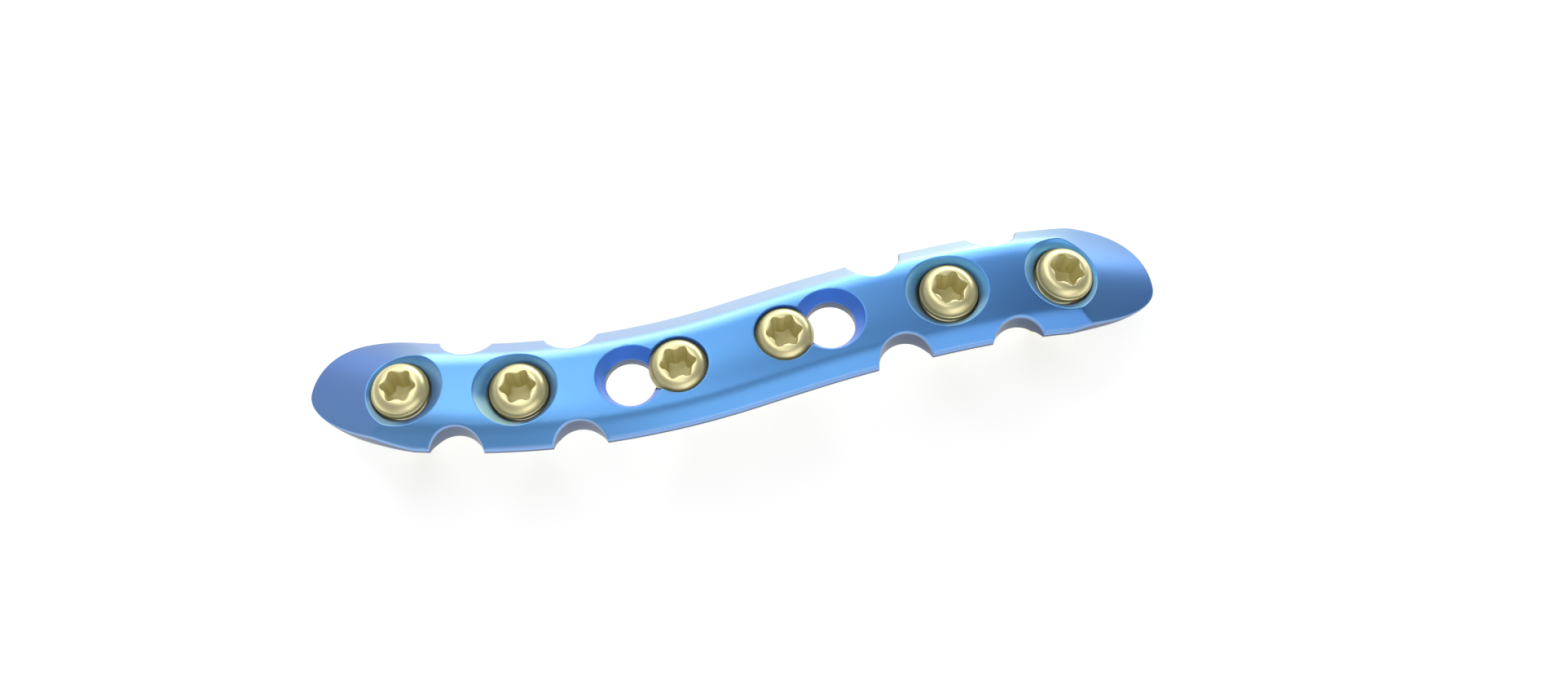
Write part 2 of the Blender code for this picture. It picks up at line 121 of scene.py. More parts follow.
# Holes.
SEAT_HEIGHT = 2.2 * MM
THROAT_RADIUS = 3.52 * MM
BORE_RADIUS = 2.67 * MM
BORE_FOOT_HEIGHT = 0.8 * MM
END_RIM_RADIUS = 5.0 * MM
COUNTERBORE_RIM_RADIUS = 4.65 * MM
SLOT_THROAT_RADIUS = 3.27 * MM
SLOT_RIM_RADIUS = 3.31 * MM
SECOND_RIM_SHIFT = -0.35 * MM
FIFTH_RIM_SHIFT = -0.3 * MM
FREE_CIRCLE_RIM_RADIUS = 3.85 * MM
FREE_CIRCLE_BORE_RADIUS = 2.75 * MM
FREE_CIRCLE_LEDGE_HEIGHT = 1.5 * MM
CONE_LEVELS = (SEAT_HEIGHT + 1.05 * MM, SEAT_HEIGHT + 0.7 * MM, SEAT_HEIGHT + 0.35 * MM)
BORE_LEVELS = CONE_LEVELS + (SEAT_HEIGHT + 0.08 * MM, SEAT_HEIGHT, 1.85 * MM, 1.5 * MM, 1.15 * MM,
                             BORE_FOOT_HEIGHT, 0.45 * MM)
SLOT_LEVELS = CONE_LEVELS + (SEAT_HEIGHT, 1.95 * MM, 1.72 * MM, 1.55 * MM, 1.45 * MM, 1.15 * MM,
                             BORE_FOOT_HEIGHT, 0.45 * MM)

# Rounding of the edges.
HOLE_ROUNDING = 0.09 * MM
SCALLOP_ROUNDING = 0.17 * MM
SIDE_ROUNDING = 0.34 * MM
FOOT_ROUNDING = 0.12 * MM
SIDE_ROUNDING_LOSS = 0.75  # Share of its rounding that the side loses towards a tip,
SIDE_ROUNDING_RUN = 1.3    # and how fast.
TOP_ROUNDING_LIMIT = 0.4   # Shares of the side's height that the roundings may take.
FOOT_ROUNDING_LIMIT = 0.3
CORNER_SMOOTHING = 0.13 * MM

# Screws.
COLLAR_RADIUS = 3.22 * MM
COLLAR_HEIGHT = 0.55 * MM
COLLAR_TOP = SEAT_HEIGHT + COLLAR_HEIGHT
GROOVE_DEPTH = 0.09 * MM
GROOVE_WIDTH = 0.1 * MM
DOME_HEIGHT = 1.05 * MM
DOME_FIRST_ANGLE = math.radians(6.0)
DOME_LAST_ANGLE = math.radians(66.0)
HEAD_TOP = COLLAR_TOP + DOME_HEIGHT
FACE_RADIUS = 2.06 * MM
HEAD_TAPER = 0.7 * MM
HEAD_RIDGES = 4
# Share of a ridge's height and how deep the head is cut there.
HEAD_RIDGE = ((0.25, 0.14 * MM), (0.55, 0.14 * MM), (0.8, 0.0), (0.98, 0.0))
SCREW_LENGTH = 14.0 * MM
SHANK_RADIUS = 1.75 * MM
CORE_RADIUS = 1.42 * MM
THREAD_PITCH = 1.0 * MM
THREAD_TOP = -0.75 * MM
TIP_LENGTH = 2.0 * MM
TIP_BLUNT_RADIUS = 0.35 * MM
TIP_THREAD_SHARE = 0.15
RECESS_POINT_RADIUS = 2.03 * MM
RECESS_WAIST_RADIUS = 1.56 * MM
RECESS_POINT_ROUNDING = 0.33 * MM
RECESS_WAIST_ROUNDING = 0.9 * MM
RECESS_DEPTH = 3.0 * MM
RECESS_TAPER = 0.2
SCREW_TURNS = (5.0, 6.5, -3.0, -8.5, -0.5, -23.0)

# Fineness: passes, points, grids, and how close counts as touching.
STATION_PASSES = 4
NOSE_PASSES = 3
RIM_PASSES = 6
SIDE_POINTS = 2400
SCALLOP_POINTS = 240
OUTLINE_SPACING = 0.04 * MM
OUTLINE_TURN = math.radians(5.0)
OUTLINE_STEP = 0.6 * MM
HOLE_POINTS = 112
SLOT_POINTS = 160
ALONG_GRID = 0.45 * MM
NOSE_GRID = 0.3 * MM
NOSE_GRID_OVERLAP = 2.0 * MM
ACROSS_GRID = 0.24 * MM
UNDER_GRID = 1.0 * MM
GRID_END_GAP = 0.1 * MM
GRID_SNAP = 0.012 * MM
RING_SNAP = 0.03 * MM
RING_NEIGHBOURS = 8
TINY = 1e-18
HEAD_POINTS = 120
DOME_STEPS = 16
THREAD_POINTS = 36
THREAD_MERGE = 0.002 * MM
THREAD_SNAP = 0.001 * MM
FILLET_SHARES = (0.2, 0.4, 0.6, 0.8, 1.0)
SIDE_SHARES = (0.12, 0.5, 1.0)
FOOT_SHARES = (0.35, 0.65)
PLATE_CREASE = math.radians(40.0)
SCREW_CREASE = math.radians(42.0)


# The curved centreline.

def heading(station):
    """Direction of the centreline seen from above."""
    past_middle = station - INFLECTION_STATION
    left = min(0.0, past_middle + STRAIGHT_LENGTH / 2)
    right = max(0.0, past_middle - STRAIGHT_LENGTH / 2)
    return MIDDLE_HEADING + left / LEFT_ARC_RADIUS - right / RIGHT_ARC_RADIUS


def dip(station):
    """Angle by which the centreline points down, towards +X."""
    near = min(abs(station), BOW_KNEE_STATION)
    far = abs(station) - near
    end_radius = LEFT_END_BOW_RADIUS if station < 0.0 else RIGHT_END_BOW_RADIUS
    return math.copysign(near / BOW_RADIUS + far / end_radius, station)


def tangent(station):
    turn = heading(station)
    fall = dip(station)
    flat = math.cos(fall)
    return Vector((flat * math.cos(turn), flat * math.sin(turn), -math.sin(fall)))


def walk(direction):
    """Points of the centreline from its middle towards one end."""
    points = [Vector((0.0, 0.0, 0.0))]
    step = direction * TABLE_STEP
    for index in range(round(TABLE_REACH / TABLE_STEP)):
        points.append(points[-1] + tangent((index + 0.5) * step) * step)
    return points


RIGHT_POINTS = walk(1)
LEFT_POINTS = walk(-1)


def centre_point(station):
    points = RIGHT_POINTS if station >= 0.0 else LEFT_POINTS
    place = abs(station) / TABLE_STEP
    index = min(int(place), len(points) - 2)
    return points[index].lerp(points[index + 1], place - index)


def station_axes(station):
    """Directions along the plate, across it and out of its top face."""
    along = tangent(station)
    turn = heading(station)
    across = Vector((-math.sin(turn), math.cos(turn), 0.0))
    return along, across, along.cross(across)


def station_frame(station):
    frame = Matrix(station_axes(station)).transposed().to_4x4()
    frame.translation = centre_point(station)
    return frame


def to_world(straight):
    """Place in the part of a station, offset and height."""
    _, across, out = station_axes(straight[0])
    return centre_point(straight[0]) + across * straight[1] + out * straight[2]


def to_straight(point, station):
    """Station, offset and height of a point that lies near a station."""
    for _ in range(STATION_PASSES):
        away = point - centre_point(station)
        station += away.dot(tangent(station))
    away = point - centre_point(station)
    _, across, out = station_axes(station)
    return Vector((station, away.dot(across), away.dot(out)))


# The two faces of the plate, as heights over station and offset.

def soft_min(first, second, reach):
    """Lower of two heights, with the crease between them rounded."""
    mix = max(0.0, min(1.0, 0.5 + 0.5 * (second - first) / reach))
    return second * (1.0 - mix) + first * mix - reach * mix * (1.0 - mix)


def arc_fall(radius, across):
    """How far a round crown has fallen at a distance from its top."""
    return radius - math.sqrt(radius ** 2 - across ** 2)


def section_height(offset):
    """Height of the crowned face, its bands and its sides over an offset."""
    offset = abs(offset)
    crown_edge = CROWN_WIDTH / 2
    shoulder = SHOULDER_WIDTH / 2
    reach = min(offset, CROWN_LIMIT * CROWN_RADIUS)
    crown = PLATE_THICKNESS - arc_fall(CROWN_RADIUS, reach)
    crown_end = PLATE_THICKNESS - arc_fall(CROWN_RADIUS, crown_edge)
    shoulder_height = PLATE_THICKNESS - SHOULDER_DROP
    lean = (shoulder_height - crown_end) / (shoulder - crown_edge)
    band = crown_end + lean * (offset - crown_edge)
    steep = (EDGE_HEIGHT - shoulder_height) / (PLATE_WIDTH / 2 - shoulder)
    side = shoulder_height + steep * (offset - shoulder)
    return soft_min(soft_min(crown, band, SHOULDER_BLEND), side, SHOULDER_BLEND)


def onto_nose(side):
    """Turns places of the part into places on a nose, whose ridge lies on its XY plane."""
    end_frame = station_frame(END_STATION[side])
    tip = end_frame.inverted() @ station_frame(TIP_STATION[side])
    tip_top = tip @ Vector((0.0, 0.0, NOSE_TIP_THICKNESS))
    start_top = Vector((side * NOSE_START[side], 0.0, PLATE_THICKNESS))
    fall = math.atan2(start_top.z - tip_top.z, side * (tip_top.x - start_top.x))
    lean = Matrix.Rotation(side * fall, 4, "Y")
    swing = Matrix.Rotation(NOSE_YAW[side], 4, "Z")
    return (end_frame @ Matrix.Translation(start_top) @ swing @ lean).inverted()


ONTO_NOSE = {side: onto_nose(side) for side in (-1, 1)}


def nose_height(station, offset):
    """Height of the falling nose over a place."""
    side = -1 if station < 0.0 else 1
    foot = ONTO_NOSE[side] @ to_world((station, offset, 0.0))
    rise = ONTO_NOSE[side].to_3x3() @ station_axes(station)[2]
    if side * foot.x < -NOSE_COVER:
        return NO_NOSE_HEIGHT
    widest = CROWN_LIMIT * NOSE_CROWN_RADIUS
    height = PLATE_THICKNESS
    for _ in range(NOSE_PASSES):
        across = max(-widest, min(widest, foot.y + rise.y * height))
        height = (-arc_fall(NOSE_CROWN_RADIUS, across) - foot.z) / rise.z
    return height


def top_height(station, offset):
    return soft_min(section_height(offset), nose_height(station, offset), NOSE_BLEND)


def under_height(offset):
    """Height of the underside, hollow in the middle and rising at its feet."""
    offset = abs(offset)
    foot = FOOT_WIDTH / 2
    if offset > foot:
        return FOOT_RISE * (offset - foot) / (PLATE_WIDTH / 2 - foot)
    return UNDERSIDE_HOLLOW * (1.0 - (offset / foot) ** 2)


# Closed rings of points. A stack of rings of the same length describes one wall
# from the top face to the underside. Each ring of a stack comes with its tone,
# one of the five below: the shares of wall, seat and rim in its colour. The wall's
# share is a dark painted shade and the rim's a painted highlight.

TOP = (0.0, 0.0, 0.0)
# Painted shade on the walls and the lower bores.
SHADED_WALL = (1.0, 0.0, 0.0)
SEAT = (0.0, 1.0, 0.0)
CONE = (0.0, 0.5, 0.0)
# Painted highlight on the rounding of the near edge.
PAINTED_RIM_HIGHLIGHT = (0.0, 0.0, 1.0)

# Where a painted highlight gleams in the cone of a locking hole: direction in degrees and
# strength. It starts and is full where the cosine of the angle from that direction has these
# values.
PAINTED_GLEAMS = {0: (240.0, 0.5), 1: (232.0, 1.0), 4: (290.0, 0.5), 5: (310.0, 0.4)}
PAINTED_GLEAM_START = 0.6
PAINTED_GLEAM_FULL = 0.95


def ring_point(ring, place):
    """Point of a ring at a place counted in points, with its fraction."""
    index = int(place) % len(ring)
    return ring[index].lerp(ring[(index + 1) % len(ring)], place - int(place))


def smoothed(ring, reach):
    """Rounds the corners of a ring of evenly spaced points with a bell of that reach."""
    spacing = sum((ring[i] - ring[i - 1]).length for i in range(len(ring))) / len(ring)
    half = math.ceil(3 * reach / spacing)
    weights = [math.exp(-0.5 * (k * spacing / reach) ** 2) for k in range(-half, half + 1)]
    total = sum(weights)
    result = []
    for index in range(len(ring)):
        place = Vector((0.0,) * len(ring[0]))
        for k, weight in zip(range(-half, half + 1), weights):
            place += ring[(index + k) % len(ring)] * weight
        result.append(place / total)
    return result


def outward(ring, index):
    """Direction in the flat out of a ring that runs anticlockwise."""
    ahead = ring[(index + 1) % len(ring)] - ring[index - 1]
    return Vector((ahead.y, -ahead.x, 0.0)).normalized()


def widened(ring, reach, height):
    """Ring moved outwards and laid on a height function."""
    places = [point + outward(ring, index) * reach for index, point in enumerate(ring)]
    return [Vector((place.x, place.y, height(place.x, place.y))) for place in places]


def fillet(first, corner, last, share):
    """Point on the rounding of a corner, at a share of the way from first to last."""
    return first * (1 - share) ** 2 + corner * 2 * share * (1 - share) + last * share ** 2


# The outline with its scallops.

def nose_share(station):
    """How far into a nose a station lies: 0 at its root and before, 1 at its tip."""
    shares = [1.0 - side * (TIP_STATION[side] - station) / NOSE_LENGTH[side] for side in (-1, 1)]
    return min(1.0, max(0.0, *shares))


def edge_offset(station, side):
    """Offset of the plate's edge on one side, without its scallops."""
    share = nose_share(station)
    if share <= 0.0:
        return side * PLATE_WIDTH / 2
    drift = NOSE_DRIFT[-1 if station < 0.0 else 1]
    fullness = NOSE_FAR_FULLNESS if side > 0 else NOSE_NEAR_FULLNESS
    widest = PLATE_WIDTH / 2 + NOSE_SIDE_EASE
    reach = side * drift * share ** 2 + widest * math.sqrt(1.0 - share ** fullness)
    return side * min(PLATE_WIDTH / 2, reach)


def scallops(side):
    """Station and depth of each scallop of one side."""
    left_circle = SCREW_STATIONS[2] - FREE_CIRCLE_PITCH
    right_circle = SCREW_STATIONS[3] + FREE_CIRCLE_PITCH
    stations = (
        (SCREW_STATIONS[0] + SCREW_STATIONS[1]) / 2,
        (SCREW_STATIONS[1] + left_circle) / 2,
        (right_circle + SCREW_STATIONS[4]) / 2,
        (SCREW_STATIONS[4] + SCREW_STATIONS[5]) / 2,
    )
    return zip(stations, FAR_SCALLOP_DEPTHS if side > 0 else NEAR_SCALLOP_DEPTHS)


def side_run(side):
    """Edge points of one side from tip to tip; the third number marks scallops."""
    points = []
    for index in range(SIDE_POINTS + 1):
        share = 0.5 - 0.5 * math.cos(math.pi * index / SIDE_POINTS)
        station = TIP_STATION[-1] + (TIP_STATION[1] - TIP_STATION[-1]) * share
        points.append(Vector((station, edge_offset(station, side), 0.0)))
    for centre, depth in scallops(side):
        frame = station_frame(centre)
        middle = side * (PLATE_WIDTH / 2 - depth + SCALLOP_RADIUS)
        arc = []
        for index in range(SCALLOP_POINTS + 1):
            angle = math.pi * index / SCALLOP_POINTS
            local = Vector((-SCALLOP_RADIUS * math.cos(angle),
                            middle - side * SCALLOP_RADIUS * math.sin(angle), 0.0))
            place = to_straight(frame @ local, centre)
            if abs(place.y) < PLATE_WIDTH / 2:
                arc.append(Vector((place.x, place.y, 1.0)))
        before = [p for p in points if p.x < arc[0].x]
        after = [p for p in points if p.x > arc[-1].x]
        points = before + arc + after
    return points


def evenly(ring, spacing):
    """Ring of points at an even spacing along a closed polyline."""
    lengths = [(ring[(i + 1) % len(ring)].xy - ring[i].xy).length for i in range(len(ring))]
    total = sum(lengths)
    count = round(total / spacing)
    result = []
    index = 0
    passed = 0.0
    for k in range(count):
        goal = total * k / count
        while passed + lengths[index] < goal:
            passed += lengths[index]
            index += 1
        share = (goal - passed) / max(lengths[index], TINY)
        result.append(ring[index].lerp(ring[(index + 1) % len(ring)], share))
    return result


def thinned(ring, turn_limit, longest):
    """Indices of a ring that keep its shape, closer together where it turns."""
    kept = []
    turned = turn_limit
    run = 0.0
    for index in range(len(ring)):
        before = (ring[index] - ring[index - 1]).xy
        after = (ring[(index + 1) % len(ring)] - ring[index]).xy
        turned += abs(before.angle_signed(after, 0.0))
        run += before.length
        if turned >= turn_limit or run >= longest:
            kept.append(index)
            turned = 0.0
            run = 0.0
    return kept


def outline_rings():
    """Rings of the outer side, from its rounded upper edge down to the underside."""
    near, far = side_run(-1), side_run(1)
    dense = evenly(near + far[::-1][1:-1], OUTLINE_SPACING)
    smooth = smoothed(dense, CORNER_SMOOTHING)
    columns = []
    for index in thinned(smooth, OUTLINE_TURN, OUTLINE_STEP):
        place = smooth[index].copy()
        scalloped = place.z
        place.z = 0.0
        normal = outward(smooth, index)
        side = 1.0 - SIDE_ROUNDING_LOSS * min(1.0, nose_share(place.x) * SIDE_ROUNDING_RUN)
        rounding = SIDE_ROUNDING * side * (1.0 - scalloped) + SCALLOP_ROUNDING * scalloped
        inner = place - normal * rounding
        inner.z = top_height(inner.x, inner.y)
        corner = place.copy()
        corner.z = top_height(corner.x, corner.y)
        foot = place.copy()
        foot.z = under_height(foot.y)
        wall = corner.z - foot.z
        last = corner.copy()
        last.z -= min(rounding, TOP_ROUNDING_LIMIT * wall)
        low = foot.copy()
        low.z += min(FOOT_ROUNDING, FOOT_ROUNDING_LIMIT * wall)
        under = place - normal * FOOT_ROUNDING
        under.z = under_height(under.y)
        columns.append(
            [inner] + [fillet(inner, corner, last, share) for share in FILLET_SHARES]
            + [last.lerp(low, share) for share in SIDE_SHARES]
            + [fillet(low, foot, under, share) for share in FOOT_SHARES] + [under])
    rings = [list(ring) for ring in zip(*columns)]
    # The rounding takes the painted rim highlight, the side and foot the painted wall shade.
    rounded = len(FILLET_SHARES)
    tones = [TOP] + [PAINTED_RIM_HIGHLIGHT] * rounded + [SHADED_WALL] * (len(rings) - 1 - rounded)
    return list(zip(rings, tones))


# The walls of the holes.

def taper(height, low, low_radius, high, high_radius):
    """Radius at a height of a cone given by its radii at two heights."""
    share = (height - low) / (high - low)
    return low_radius + (high_radius - low_radius) * share


def bore_radius(height):
    """Radius of the bore that takes the head, which widens from its foot to its throat."""
    height = max(BORE_FOOT_HEIGHT, min(height, SEAT_HEIGHT))
    return taper(height, BORE_FOOT_HEIGHT, BORE_RADIUS, SEAT_HEIGHT, THROAT_RADIUS)


def locking_wall(rim_radius, shift):
    """Wall of a round locking hole: share of a turn and height give a place."""
    def wall(share, height):
        angle = 2 * math.pi * share
        radius = bore_radius(height)
        if height >= SEAT_HEIGHT:
            cone = taper(height, SEAT_HEIGHT, THROAT_RADIUS, PLATE_THICKNESS, rim_radius)
            sway = max(0.0, cone ** 2 - (shift * math.sin(angle)) ** 2)
            radius = max(radius, shift * math.cos(angle) + math.sqrt(sway))
        return Vector((radius * math.cos(angle), radius * math.sin(angle)))
    return wall


def combination_wall(side):
    """Wall of a combination hole: the union of the screw's circle and the free circle."""
    def wall(share, height):
        if height >= SEAT_HEIGHT:
            screw = taper(height, SEAT_HEIGHT, SLOT_THROAT_RADIUS,
                          PLATE_THICKNESS, SLOT_RIM_RADIUS)
        else:
            screw = min(SLOT_THROAT_RADIUS, bore_radius(height))
        free = FREE_CIRCLE_BORE_RADIUS
        if height > FREE_CIRCLE_LEDGE_HEIGHT:
            free = taper(height, FREE_CIRCLE_LEDGE_HEIGHT, FREE_CIRCLE_BORE_RADIUS,
                         PLATE_THICKNESS, FREE_CIRCLE_RIM_RADIUS)
        pitch = FREE_CIRCLE_PITCH
        near = math.acos((pitch ** 2 + screw ** 2 - free ** 2) / (2 * pitch * screw))
        far = math.acos((pitch ** 2 + free ** 2 - screw ** 2) / (2 * pitch * free))
        if share < 0.5:
            angle = near + (2 * math.pi - 2 * near) * share * 2
            place = Vector((screw * math.cos(angle), screw * math.sin(angle)))
        else:
            angle = (math.pi - far) * (4 * share - 3)
            place = Vector((pitch + free * math.cos(angle), free * math.sin(angle)))
        return place * side
    return wall


def hole_rings(station, wall, count, smooth_steps, heights, seat_foot, seat):
    """Rings of one hole, from its rounded rim down to the underside.

    The wall gives a place for a share of a turn and a height. It has the seat's
    tone down to the seat's foot, and a dark painted shade below it.
    """
    frame = station_frame(station)
    shares = [index / count for index in range(count)]

    def straight(flat, height):
        return to_straight(frame @ Vector((flat.x, flat.y, height)), station)

    def eased(items):
        for _ in range(smooth_steps):
            items = [items[i - 1] * 0.25 + items[i] * 0.5 + items[(i + 1) % count] * 0.25
                     for i in range(count)]
        return items

    def ring_at(levels):
        flats = eased([wall(share, level) for share, level in zip(shares, levels)])
        return [straight(flat, level) for flat, level in zip(flats, levels)]

    # The rim is where the wall meets the top face.
    levels = [PLATE_THICKNESS] * count
    for _ in range(RIM_PASSES):
        for index, share in enumerate(shares):
            place = straight(wall(share, max(levels[index], SEAT_HEIGHT)), levels[index])
            levels[index] += top_height(place.x, place.y) - place.z
    levels = eased(levels)
    corners = ring_at(levels)
    for corner in corners:
        corner.z = top_height(corner.x, corner.y)
    lows = [max(level - HOLE_ROUNDING, SEAT_HEIGHT) for level in levels]
    lasts = ring_at(lows)
    upper = widened(corners, HOLE_ROUNDING, top_height)
    rings = [upper] + [[fillet(*places, part) for places in zip(upper, corners, lasts)]
                       for part in FILLET_SHARES]
    tones = [TOP, TOP, TOP] + [seat] * (len(rings) - 3)
    # Below the seat's foot the bore takes the dark painted wall shade.
    for height in heights:
        tones.append(seat if height >= seat_foot else SHADED_WALL)
        if height > SEAT_HEIGHT:
            part = (height - SEAT_HEIGHT) / (PLATE_THICKNESS - SEAT_HEIGHT)
            rings.append(ring_at([SEAT_HEIGHT + (low - SEAT_HEIGHT) * part for low in lows]))
        else:
            rings.append(ring_at([height] * count))
    under = ring_at([0.0] * count)
    for place in under:
        place.z = under_height(place.y)
    low = [place + Vector((0.0, 0.0, FOOT_ROUNDING)) for place in under]
    wide = widened(under, FOOT_ROUNDING, lambda _, offset: under_height(offset))
    rings += [low, [fillet(*places, 0.5) for places in zip(low, under, wide)], wide]
    tones += [SHADED_WALL] * 3
    return list(zip(rings, tones))


def all_rings():
    """Stacks of rings of the outline and of the six holes."""
    stacks = [outline_rings()]
    rims = {0: (END_RIM_RADIUS, 0.0), 1: (COUNTERBORE_RIM_RADIUS, SECOND_RIM_SHIFT),
            4: (COUNTERBORE_RIM_RADIUS, FIFTH_RIM_SHIFT), 5: (END_RIM_RADIUS, 0.0)}
    for index, (rim, shift) in rims.items():
        stacks.append(hole_rings(SCREW_STATIONS[index], locking_wall(rim, shift),
                                 HOLE_POINTS, 0, BORE_LEVELS, SEAT_HEIGHT, CONE))
    for index, side in ((2, -1), (3, 1)):
        stacks.append(hole_rings(SCREW_STATIONS[index], combination_wall(side),
                                 SLOT_POINTS, 2, SLOT_LEVELS, FREE_CIRCLE_LEDGE_HEIGHT, SEAT))
    return stacks


# Building the plate.

def fill_flat(work, edges, along_grid, across_grid, height):
    """Fills the rings, cuts the fill into a grid and lays it on a height function."""
    made = bmesh.ops.triangle_fill(work, edges=edges, use_beauty=True, normal=(0.0, 0.0, 1.0))
    faces = [item for item in made["geom"] if isinstance(item, bmesh.types.BMFace)]
    rim = set(edges)
    for face in faces:
        for edge in face.edges:
            edge.seam = edge not in rim
    fresh = {vertex for face in faces for vertex in face.verts}
    low = min(vertex.co.x for vertex in fresh)
    high = max(vertex.co.x for vertex in fresh)
    left, right = (END_STATION[side] - side * NOSE_GRID_OVERLAP for side in (-1, 1))
    cuts = []
    station = low
    while True:
        station += along_grid if left < station < right else min(NOSE_GRID, along_grid)
        if station > high - GRID_END_GAP:
            break
        cuts.append((Vector((station, 0.0, 0.0)), Vector((1.0, 0.0, 0.0))))
    count = math.floor(PLATE_WIDTH / across_grid)
    for index in range(1, count + 1):
        offset = -PLATE_WIDTH / 2 + PLATE_WIDTH * index / (count + 1)
        cuts.append((Vector((0.0, offset, 0.0)), Vector((0.0, 1.0, 0.0))))
    patch = work.faces.layers.int["patch"]
    for face in faces:
        face[patch] = 1
    for place, normal in cuts:
        laid = [face for face in work.faces if face[patch] == 1]
        sides = dict.fromkeys(edge for face in laid for edge in face.edges)
        corners = dict.fromkeys(vertex for face in laid for vertex in face.verts)
        bmesh.ops.bisect_plane(work, geom=[*laid, *sides, *corners], dist=GRID_SNAP,
                               plane_co=place, plane_no=normal)
    loose = [edge for edge in work.edges if edge.seam]
    bmesh.ops.dissolve_edges(work, edges=loose, use_verts=False, use_face_split=False)
    inner = {vertex for face in work.faces if face[patch] == 1 for vertex in face.verts
             if not any(edge.is_boundary or any(f[patch] == 0 for f in edge.link_faces)
                        for edge in vertex.link_edges)}
    for vertex in inner:
        vertex.co.z = height(vertex.co.x, vertex.co.y)
    for face in work.faces:
        face[patch] = 0
    for edge in work.edges:
        edge.seam = False


def boundary_near(work, ring):
    """Open edges of the mesh that lie on a ring, with each vertex's place along it."""
    tree = KDTree(len(ring))
    for index, point in enumerate(ring):
        tree.insert((point.x, point.y, 0.0), index)
    tree.balance()
    found = {vertex: place_on(ring, tree, vertex.co)
             for vertex in work.verts if vertex.is_boundary}
    places = {vertex: place for vertex, place in found.items() if place is not None}
    edges = [edge for edge in open_edges(work.edges)
             if all(vertex in places for vertex in edge.verts)]
    return edges, places


def open_edges(items):
    """Edges among some items that only one face uses."""
    return [item for item in items if isinstance(item, bmesh.types.BMEdge) and item.is_boundary]


def place_on(ring, tree, point):
    """Place along a ring of a point that lies on it, or None."""
    flat = Vector((point.x, point.y, 0.0))
    starts = set()
    for _, nearest, _ in tree.find_n(flat, RING_NEIGHBOURS):
        starts.update(((nearest - 1) % len(ring), nearest))
    best = None
    for start in sorted(starts):
        first = ring[start].xy
        run = ring[(start + 1) % len(ring)].xy - first
        share = (flat.xy - first).dot(run) / max(run.length_squared, TINY)
        share = max(0.0, min(1.0, share))
        gap = (first + run * share - flat.xy).length
        if best is None or gap < best[0]:
            best = (gap, (start + share) % len(ring))
    return best[1] if best[0] < RING_SNAP else None


def hang_wall(work, rings):
    """Extrudes the open edge on the first ring through all the others."""
    first, _ = rings[0]
    edges, places = boundary_near(work, first)
    layer, wall, seat, rim = (work.verts.layers.float[label]
                              for label in ("place", "wall", "seat", "rim"))
    for vertex, place in places.items():
        vertex[layer] = place
        vertex.co = ring_point(first, place)
    for ring, tone in rings[1:]:
        made = bmesh.ops.extrude_edge_only(work, edges=edges)["geom"]
        for item in made:
            if isinstance(item, bmesh.types.BMVert):
                item.co = ring_point(ring, item[layer])
                item[wall], item[seat], item[rim] = tone
        edges = open_edges(made)


def painted_gleam_at(place):
    """How much painted highlight the cone of a locking hole carries at a place."""
    hole = min(PAINTED_GLEAMS, key=lambda index: abs(SCREW_STATIONS[index] - place.x))
    middle, strength = PAINTED_GLEAMS[hole]
    away = math.atan2(place.y, place.x - SCREW_STATIONS[hole]) - math.radians(middle)
    share = (math.cos(away) - PAINTED_GLEAM_START) / (PAINTED_GLEAM_FULL - PAINTED_GLEAM_START)
    share = max(0.0, min(1.0, share))
    return strength * share * share * (3.0 - 2.0 * share)


def make_plate(material):
    """Lays the top face between the outlines, hangs the walls on them, closes the underside."""
    work = bmesh.new()
    for label in ("place", "wall", "seat", "rim", "painted_gleam"):
        work.verts.layers.float.new(label)
    work.faces.layers.int.new("patch")
    stacks = all_rings()
    edges = []
    for rings in stacks:
        corners = [work.verts.new(point) for point in rings[0][0]]
        for index, corner in enumerate(corners):
            edges.append(work.edges.new((corners[index - 1], corner)))
    fill_flat(work, edges, ALONG_GRID, ACROSS_GRID, top_height)
    for rings in stacks:
        hang_wall(work, rings)
    rest = open_edges(work.edges)
    fill_flat(work, rest, UNDER_GRID, UNDER_GRID / 2, lambda _, offset: under_height(offset))
    seat, rim, painted_gleam = (work.verts.layers.float[label] for label in ("seat", "rim", "painted_gleam"))
    for vertex in work.verts:
        # Only the near edge keeps its painted rim highlight.
        if vertex.co.y > 0.0:
            vertex[rim] = 0.0
        # The cones of the locking holes get their painted highlight.
        if vertex[seat] == CONE[1]:
            vertex[painted_gleam] = painted_gleam_at(vertex.co)
        vertex.co = to_world(vertex.co)
    bmesh.ops.recalc_face_normals(work, faces=work.faces)
    return finish_piece(work, "bone_plate", material, PLATE_CREASE)


def finish_piece(work, name, material, crease):
    """Object of a finished mesh, smooth but for its creases."""
    mesh = bpy.data.meshes.new(name)
    work.to_mesh(mesh)
    work.free()
    mesh.materials.append(material)
    mesh.shade_smooth()
    mesh.set_sharp_from_angle(angle=crease)
    piece = bpy.data.objects.new(name, mesh)
    bpy.context.scene.collection.objects.link(piece)
    return piece


# The screws.

def profile_line(work, profile):
    """Open line of edges through a profile of radius and height."""
    corners = [work.verts.new((radius, 0.0, height)) for radius, height in profile]
    return corners + [work.edges.new(pair) for pair in zip(corners, corners[1:])]


